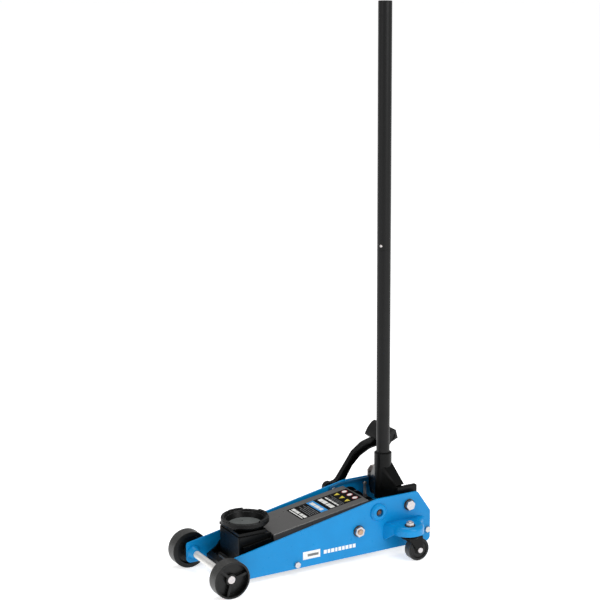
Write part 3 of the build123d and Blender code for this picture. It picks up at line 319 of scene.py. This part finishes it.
def printed(name, base, faded, shine=0.3):
    """Printed film: flat ink with a faint print grain, a little fading and fine scratches."""
    look = Shader(name)
    body = look.mix(look.span(look.noise(18, 5, 0.65), 0.4, 0.75), base, faded)
    rough = look.span(look.noise(6, 5, 0.7, shift=3), 0.3, 0.7, 0.36, 0.52)
    normal = look.bump(look.noise(0.5, 2, 0.5), 0.01, 0.5)
    return look.set(Base_Color=body, Roughness=rough, Normal=normal, Specular_IOR_Level=shine)


blue_paint = paint(
    "blue_enamel", colour(0, 138, 204), colour(0, 131, 195), colour(30, 150, 208), 0.3,
    coat=0.04, shine=0.24,
)
black_paint = paint(
    "black_enamel", colour(6, 7, 7), colour(4, 5, 5), colour(26, 27, 28), 0.3,
    coat=0.0, shine=0.17,
)
handle_paint = paint(
    "black_powder_coat", colour(8, 8, 9), colour(5, 6, 6), colour(22, 23, 24), 0.4,
    grain=1.0, grain_depth=0.09, chips=0.7, coat=0.0, shine=0.26,
)
arm_paint = paint("black_arm_enamel", colour(81, 80, 79), colour(74, 73, 72), colour(98, 97, 96), 0.3)
cast_black = cast("black_cast_iron", colour(4, 5, 5), colour(7, 8, 8), 0.36, 0.2)
saddle_steel = cast("dark_saddle_steel", colour(96, 100, 99), colour(112, 116, 115), 0.36)
cast_block = cast("machined_block", colour(92, 94, 97), colour(112, 113, 115), 0.42)
zinc = plated("zinc_plate", colour(206, 200, 197), colour(192, 189, 192), 0.28)
axle_steel = turned("axle_steel", colour(250, 249, 246), colour(240, 238, 235), 0.6, (1, 8, 1))
bolt_steel = turned("tinted_bolt_steel", colour(196, 160, 132), colour(176, 146, 124), 0.4, (1, 8, 1))
shaft_steel = turned("brown_shaft_steel", colour(112, 86, 76), colour(88, 70, 64), 0.42, (1, 8, 1))
bare_steel = turned("bare_steel", colour(160, 160, 160), colour(132, 131, 129), 0.36, (1, 1, 8))
# Lever below the plate top in a darker blue than the frame's enamel: painted shade for its place inside
# the frame.
painted_shade_and_tab = half_painted(
    "painted_shade_lever", colour(0, 92, 140), colour(0, 84, 130), colour(176, 168, 164), PLATE_TOP
)
spring_steel = turned("spring_steel", colour(96, 97, 100), colour(70, 71, 74), 0.34, (4, 4, 4))
pad_rubber = moulded("pad_rubber", colour(6, 6, 7), colour(10, 10, 11), 0.45)

LOOKS = {
    "blue_paint": (
        "side_plate_left side_plate_right arm_pivot_bosses caster_bracket_left caster_bracket_right"
    ),
    "arm_paint": "arm_cover",
    "black_paint": (
        "arm_cheek_left arm_cheek_right tie_rod_left tie_rod_right tie_rod_crosshead "
        "head_bracket handle_yoke front_cross_tie caster_fork_left caster_fork_right pedal_lever "
        "arm_crank_plates arm_pivot_tube lift_cylinder oil_reservoir"
    ),
    "handle_paint": "handle_lower_tube handle_upper_tube",
    "cast_black": "saddle_cup",
    "saddle_steel": "saddle_disc saddle_stem",
    "zinc": (
        "front_axle_caps frame_tie_bolts tie_rod_nuts yoke_pivot_bolts caster_stems "
        "caster_axle_left caster_axle_right filler_plug joint_button pedal_shaft"
    ),
    "axle_steel": "front_axle",
    "bolt_steel": "tie_rod_bolts",
    "painted_shade_and_tab": "pedal_inner_lever",
    "shaft_steel": "arm_pivot_shaft",
    "bare_steel": (
        "crank_pin head_pins pump_roller roller_pin pump_plunger ram "
        "quick_plunger release_valve handle_coupling"
    ),
    "cast_block": "pump_block pump_gland cylinder_gland ram_clevis quick_pump_barrel",
    "pad_rubber": "pedal_pad",
}
MATERIALS = {
    "blue_paint": blue_paint,
    "black_paint": black_paint,
    "handle_paint": handle_paint,
    "cast_black": cast_black,
    "saddle_steel": saddle_steel,
    "arm_paint": arm_paint,
    "zinc": zinc,
    "axle_steel": axle_steel,
    "bolt_steel": bolt_steel,
    "painted_shade_and_tab": painted_shade_and_tab,
    "shaft_steel": shaft_steel,
    "bare_steel": bare_steel,
    "cast_block": cast_block,
    "pad_rubber": pad_rubber,
}


def dress(node, material):
    """Gives a carried-over CAD node its finish."""
    slots = frame["nodes"][node].data.materials
    slots.clear()
    slots.append(material)


for look_name, node_names in LOOKS.items():
    for node_name in node_names.split():
        dress(node_name, MATERIALS[look_name])

for wheel_node in ("front_wheel_left", "front_wheel_right", "caster_wheel_left", "caster_wheel_right"):
    wheel_low, wheel_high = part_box(wheel_node)
    wheel_radius = (wheel_high.z - wheel_low.z) / 2
    wheel_centre = (wheel_low + wheel_high) / 2
    wheel_nylon = moulded(
        wheel_node + "_nylon", colour(8, 9, 9), colour(13, 14, 14), 0.36,
        wheel=wheel_centre, tread=wheel_radius,
    )
    dress(wheel_node, wheel_nylon)


# ---------------------------------------------------------------- pieces
def new_piece(name, mesh_maker, material, body):
    """Makes a mesh piece, gives it its finish and lets it ride on a body."""
    mesh = bpy.data.meshes.new(name)
    work = bmesh.new()
    mesh_maker(work)
    bmesh.ops.recalc_face_normals(work, faces=work.faces)
    work.to_mesh(mesh)
    work.free()
    piece = bpy.data.objects.new(name, mesh)
    bpy.context.scene.collection.objects.link(piece)
    mesh.materials.append(material)
    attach(piece, body)
    return piece


def add_slab(work, outline, to_space, thickness):
    """Closed flat slab: a 2-D outline placed by to_space(u, v, height)."""
    bottom = [work.verts.new(to_space(u, v, 0)) for u, v in outline]
    top = [work.verts.new(to_space(u, v, thickness)) for u, v in outline]
    work.faces.new(top)
    work.faces.new(bottom[::-1])
    for index in range(len(outline)):
        after = (index + 1) % len(outline)
        work.faces.new((bottom[index], bottom[after], top[after], top[index]))


def add_turned(work, centre, profile, to_space, steps=28):
    """Closed ring: a profile of radius and height points turned about a centre."""
    rows = []
    for radius, height in profile:
        row = []
        for step in range(steps):
            angle = 2 * pi * step / steps
            u = centre[0] + radius * cos(angle)
            v = centre[1] + radius * sin(angle)
            row.append(work.verts.new(to_space(u, v, height)))
        rows.append(row)
    for first, second in zip(rows, rows[1:] + rows[:1]):
        for step in range(steps):
            after = (step + 1) % steps
            work.faces.new((first[step], first[after], second[after], second[step]))


def add_ring(work, centre, outer, inner, to_space, thickness):
    """Closed flat ring placed like a slab."""
    add_turned(work, centre, ((outer, 0), (outer, thickness), (inner, thickness), (inner, 0)), to_space)


def rectangle(u_low, u_high, v_low, v_high):
    return [(u_low, v_low), (u_high, v_low), (u_high, v_high), (u_low, v_high)]


def disc(centre, radius, steps=28):
    turn = [2 * pi * step / steps for step in range(steps)]
    return [(centre[0] + radius * cos(a), centre[1] + radius * sin(a)) for a in turn]


# ---------------------------------------------------------------- label on the lifting arm
# Along the arm from its pivot, and across it from its middle.
FILM = 0.12 * MM
INK = 0.05 * MM
LABEL_REAR = 16 * MM
LABEL_FRONT = 205 * MM
LABEL_HALF = 42 * MM
TEXT_HALF = 38 * MM
TOP_LINE = (197 * MM, 200.5 * MM)
TOP_TITLE = (184.5 * MM, 193.5 * MM)
UPPER_ROWS = (150 * MM, 6 * MM, 2 * MM, 5)  # first row, pitch, height, count
BAND = (122 * MM, 144 * MM)
BAND_TITLE = (128 * MM, 139 * MM)
LOW_TITLE = (98 * MM, 111 * MM)
LOW_LINE = (85 * MM, 90 * MM)
LOWER_ROWS = (70 * MM, 5 * MM, 1.6 * MM, 3)
TRIANGLES_ALONG = 54 * MM
DISCS_ALONG = 30 * MM


def on_cover(level):
    """Places label points: u runs forward along the arm, v across it."""
    def place(u, v, height):
        return arm_root + arm_forward * u + Vector((0, v, 0)) + arm_up * (cover_top + level + height)
    return place


def label_piece(name, shapes, material, level, thickness):
    def build(work):
        for shape in shapes:
            add_slab(work, shape, on_cover(level), thickness)
    return new_piece(name, build, material, "lift_arm")


def text_like_row(u_low, u_high, half_width, gaps):
    """A row of plain bars with uneven gaps, where a printed line would be."""
    bars = []
    start = -half_width
    for width, gap in gaps:
        bars.append(rectangle(u_low, u_high, start, start + width * MM))
        start += (width + gap) * MM
    return bars


ink_black = printed("label_black", colour(3, 3, 4), colour(6, 6, 7), 0.05)
ink_white = printed("label_white", colour(236, 236, 234), colour(224, 224, 221))
ink_grey = printed("label_grey", colour(122, 124, 126), colour(104, 106, 108))
ink_blue = printed("label_blue", colour(28, 140, 214), colour(40, 148, 218))
ink_yellow = printed("label_yellow", colour(226, 206, 60), colour(214, 196, 72))
ink_red = printed("label_red", colour(196, 60, 66), colour(184, 70, 72))

label_piece(
    "label_panel",
    [rectangle(LABEL_REAR, LABEL_FRONT, -LABEL_HALF, LABEL_HALF)],
    ink_black, 0, FILM,
)
BOLD = ((9, 2), (14, 2), (7, 2), (18, 2), (16, 2))
SHORT = ((12, 2), (20, 2), (9, 2), (11, 2))
HEAVY = ((17, 1.5), (13, 4), (20, 1.5), (17, 1.5))
BAND_WORDS = ((15, 2), (22, 2), (22, 2))
white_bars = [rectangle(*TOP_LINE, -36 * MM, 36 * MM)]
white_bars += text_like_row(*TOP_TITLE, TEXT_HALF, HEAVY)
white_bars += text_like_row(*LOW_TITLE, TEXT_HALF, HEAVY)
white_bars += text_like_row(*LOW_LINE, TEXT_HALF, BOLD)
label_piece("label_white_bars", white_bars, ink_white, FILM, INK)
grey_bars = []
for (first_row, pitch, bar_height, count), odd, even in (
    (UPPER_ROWS, BOLD, SHORT),
    (LOWER_ROWS, SHORT, BOLD),
):
    for row in range(count):
        start = first_row + pitch * row
        grey_bars += text_like_row(start, start + bar_height, TEXT_HALF, odd if row % 2 else even)
label_piece("label_grey_bars", grey_bars, ink_grey, FILM, INK)
label_piece("label_band", [rectangle(*BAND, -LABEL_HALF, LABEL_HALF)], ink_blue, FILM, INK)
label_piece(
    "label_band_bars",
    text_like_row(*BAND_TITLE, 30 * MM, BAND_WORDS),
    ink_white, FILM + INK, INK,
)
SIGN_PLACES = (-28 * MM, 0.0, 28 * MM)
TRIANGLE = 9.5 * MM
DISC = 8.5 * MM
DISC_RIM = 1.6 * MM
triangles = []
for across in SIGN_PLACES:
    corners = [radians(turn) for turn in (0, 120, 240)]
    triangles.append(
        [(TRIANGLES_ALONG + TRIANGLE * cos(a), across + TRIANGLE * sin(a)) for a in corners]
    )
label_piece("label_triangles", triangles, ink_yellow, FILM, INK)
label_piece(
    "label_discs",
    [disc((DISCS_ALONG, across), DISC - DISC_RIM) for across in SIGN_PLACES],
    ink_white, FILM, INK,
)


def build_rings(work):
    for across in SIGN_PLACES:
        add_ring(work, (DISCS_ALONG, across), DISC, DISC - DISC_RIM, on_cover(FILM), INK)


new_piece("label_rings", build_rings, ink_red, "lift_arm")


# ---------------------------------------------------------------- film on the near side plate
# Along X and up Z.
FILM_BLOCK = (-59 * MM, -7 * MM, 43 * MM, 64.5 * MM)
FILM_BLOCK_BAR = (-45 * MM, -12 * MM, 50 * MM, 57 * MM)
FILM_BARS_START = 4 * MM
FILM_BARS_LOW = 48 * MM
FILM_BARS_HIGH = 58.5 * MM
FILM_BARS_GAP = 2.6
FILM_BARS_WIDTHS = (9, 8, 10, 7, 9, 8, 9, 8, 9)
plate_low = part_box("side_plate_left")[0]


def on_plate(level):
    def place(u, v, height):
        return Vector((u, plate_low.y - level - height, v))
    return place


def build_side_block(work):
    add_slab(work, rectangle(*FILM_BLOCK), on_plate(0), FILM)


def build_side_block_bar(work):
    add_slab(work, rectangle(*FILM_BLOCK_BAR), on_plate(FILM), INK)


def build_side_bars(work):
    start = FILM_BARS_START
    for width in FILM_BARS_WIDTHS:
        bar = rectangle(start, start + width * MM, FILM_BARS_LOW, FILM_BARS_HIGH)
        add_slab(work, bar, on_plate(0), FILM)
        start += (width + FILM_BARS_GAP) * MM


new_piece("side_film_block", build_side_block, ink_white, "frame")
new_piece("side_film_block_bar", build_side_block_bar, ink_grey, "frame")
new_piece("side_film_bars", build_side_bars, ink_white, "frame")


# ---------------------------------------------------------------- dark rings under the bolts, painted shadow around their heads
SHADOW_RING_THICKNESS = 1.4 * MM
YOKE_SHADOW_RING = (16 * MM, 12.2 * MM)
YOKE_SHADOW_RING_LEVEL = 1.5 * MM
ROD_SHADOW_RING = (15.6 * MM, 12.8 * MM)
ROD_SHADOW_RING_LEVEL = 1.0 * MM
CASTER_SHADOW_RING = (14.5 * MM, 8 * MM)
# Blackened rings that stand in for the shade around each bolt head and caster nut: painted shadow.
shadow_ring_black = plated("painted_shadow_ring", colour(44, 42, 40), colour(58, 54, 50), 0.45)


def shadow_ring_piece(name, centre, outer, inner, to_space):
    def build(work):
        add_ring(work, centre, outer, inner, to_space, SHADOW_RING_THICKNESS)
    return new_piece(name, build, shadow_ring_black, "frame")


def on_shelf(level):
    """Places points on top of a caster bracket: u along X, v along Y."""
    def place(u, v, height):
        return Vector((u, v, level + height))
    return place


def on_face(level, sign):
    """Places points on an outer side face: u along X, v along Z, height away from the plate."""
    def place(u, v, height):
        return Vector((u, sign * (level + height), v))
    return place


PLATE_FACE = abs(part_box("side_plate_left")[0].y)
yoke_root = joint_place("handle_pump")
rod_root = joint_place("tie_rod_swing")
for side_name, sign in (("left", -1), ("right", 1)):
    shadow_ring_piece(
        "yoke_bolt_shadow_ring_" + side_name,
        (yoke_root.x, yoke_root.z), *YOKE_SHADOW_RING, on_face(PLATE_FACE + YOKE_SHADOW_RING_LEVEL, sign),
    )
    shadow_ring_piece(
        "rod_bolt_shadow_ring_" + side_name,
        (rod_root.x, rod_root.z), *ROD_SHADOW_RING, on_face(PLATE_FACE + ROD_SHADOW_RING_LEVEL, sign),
    )

for caster_side in ("left", "right"):
    shelf_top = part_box("caster_bracket_" + caster_side)[1].z
    swivel = joint_place("caster_" + caster_side[0] + "_swivel")
    shadow_ring_piece(
        "caster_shadow_ring_" + caster_side,
        (swivel.x, swivel.y), *CASTER_SHADOW_RING, on_shelf(shelf_top),
    )


# ---------------------------------------------------------------- flared sleeves on the front axle
PLATE_THICKNESS = 5 * MM
SLEEVE_LENGTH = 19 * MM
SLEEVE_GAP = 0.3 * MM
axle_low, axle_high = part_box("front_axle")
axle_centre = (axle_low + axle_high) / 2
AXLE_RADIUS = (axle_high.z - axle_low.z) / 2
SLEEVE_PROFILE = (
    (AXLE_RADIUS + 8 * MM, 0),
    (AXLE_RADIUS + 8 * MM, -2 * MM),
    (AXLE_RADIUS + 4 * MM, -7 * MM),
    (AXLE_RADIUS + 2.5 * MM, -SLEEVE_LENGTH),
    (AXLE_RADIUS + SLEEVE_GAP, -SLEEVE_LENGTH),
    (AXLE_RADIUS + SLEEVE_GAP, 0),
)


def smooth(piece):
    for face in piece.data.polygons:
        face.use_smooth = True


def sleeve_piece(name, sign):
    inner_face = on_face(PLATE_FACE - PLATE_THICKNESS, sign)

    def build(work):
        add_turned(work, (axle_centre.x, axle_centre.z), SLEEVE_PROFILE, inner_face)
    return new_piece(name, build, blue_paint, "frame")


for side_name, sign in (("left", -1), ("right", 1)):
    smooth(sleeve_piece("axle_sleeve_" + side_name, sign))


# ---------------------------------------------------------------- pump spring
spring_low, spring_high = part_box("plunger_spring")
SPRING_TURNS = 6
SPRING_STEPS = 24 * SPRING_TURNS
SPRING_SIDES = 10
WIRE = 1.6 * MM


def build_spring(work):
    """Round wire wound as a helix, with closed flat ends."""
    centre = (spring_low + spring_high) / 2
    coil = (spring_high.x - spring_low.x) / 2 - WIRE
    bottom = spring_low.z + WIRE
    height = spring_high.z - spring_low.z - 2 * WIRE
    loops = []
    for step in range(SPRING_STEPS + 1):
        share = step / SPRING_STEPS
        angle = 2 * pi * SPRING_TURNS * share
        out = Vector((cos(angle), sin(angle), 0))
        hub = Vector((centre.x, centre.y, bottom + height * share)) + out * coil
        loop = []
        for side in range(SPRING_SIDES):
            turn = 2 * pi * side / SPRING_SIDES
            offset = out * (WIRE * cos(turn)) + Vector((0, 0, WIRE * sin(turn)))
            loop.append(work.verts.new(hub + offset))
        loops.append(loop)
    for first, second in zip(loops, loops[1:]):
        for side in range(SPRING_SIDES):
            after = (side + 1) % SPRING_SIDES
            work.faces.new((first[side], first[after], second[after], second[side]))
    work.faces.new(loops[0][::-1])
    work.faces.new(loops[-1])


spring = new_piece("pump_spring", build_spring, spring_steel, "frame")
smooth(spring)
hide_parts("plunger_spring")
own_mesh(spring)


# ---------------------------------------------------------------- floor, light and camera
FLOOR_REACH = 90


def build_floor():
    """Plain pale floor, far wider than any view of the object."""
    mesh = bpy.data.meshes.new("floor")
    work = bmesh.new()
    corners = [work.verts.new((x, y, 0)) for x, y in ((-1, -1), (1, -1), (1, 1), (-1, 1))]
    for corner in corners:
        corner.co *= FLOOR_REACH
    work.faces.new(corners)
    work.to_mesh(mesh)
    work.free()
    floor = bpy.data.objects.new("floor", mesh)
    bpy.context.scene.collection.objects.link(floor)
    look = Shader("pale_floor")
    tone = look.mix(look.noise(400, 3), colour(250, 250, 250), colour(252, 252, 252))
    look.set(Base_Color=tone, Roughness=0.9, Emission_Color=(1, 1, 1, 1), Emission_Strength=0.62)
    mesh.materials.append(look.material)


def soft_light(name, place, target, size, power):
    """Square studio softbox aimed at a point."""
    lamp = bpy.data.lights.new(name, "AREA")
    lamp.shape = "SQUARE"
    lamp.size = size
    lamp.energy = power
    holder = bpy.data.objects.new(name, lamp)
    holder.location = place
    holder.rotation_euler = (Vector(target) - Vector(place)).to_track_quat("-Z", "Y").to_euler()
    bpy.context.scene.collection.objects.link(holder)


build_floor()
world = bpy.data.worlds.new("studio")
world.use_nodes = True
world.node_tree.nodes["Background"].inputs["Color"].default_value = (1, 1, 1, 1)
world.node_tree.nodes["Background"].inputs["Strength"].default_value = 0.4
bpy.context.scene.world = world

soft_light("key", (0.9, -3.2, 2.2), (0, 0, 0.2), 1.8, 60)
soft_light("top", (0.2, 0.3, 4.2), (0, 0, 0.1), 2.0, 50)
soft_light("fill", (-3.4, -0.6, 1.6), (0, 0, 0.2), 1.8, 13)

CAMERA_PLACE = Vector((-2.1012, -3.7901, 1.7193))
HEADING = radians(30.48)
TILT = radians(13.47)
look_along = Vector((sin(HEADING) * cos(TILT), cos(HEADING) * cos(TILT), -sin(TILT)))
camera_data = bpy.data.cameras.new("camera")
camera_data.sensor_width = 36
camera_data.lens = 102.5
camera_data.shift_x = -0.078
camera_data.shift_y = 0.024
camera_data.clip_start = 0.1
camera_data.clip_end = 400
camera = bpy.data.objects.new("camera", camera_data)
camera.location = CAMERA_PLACE
camera.rotation_euler = look_along.to_track_quat("-Z", "Y").to_euler()
bpy.context.scene.collection.objects.link(camera)
bpy.context.scene.camera = camera
bpy.context.scene.view_settings.view_transform = "Standard"

bpy.context.view_layer.update()
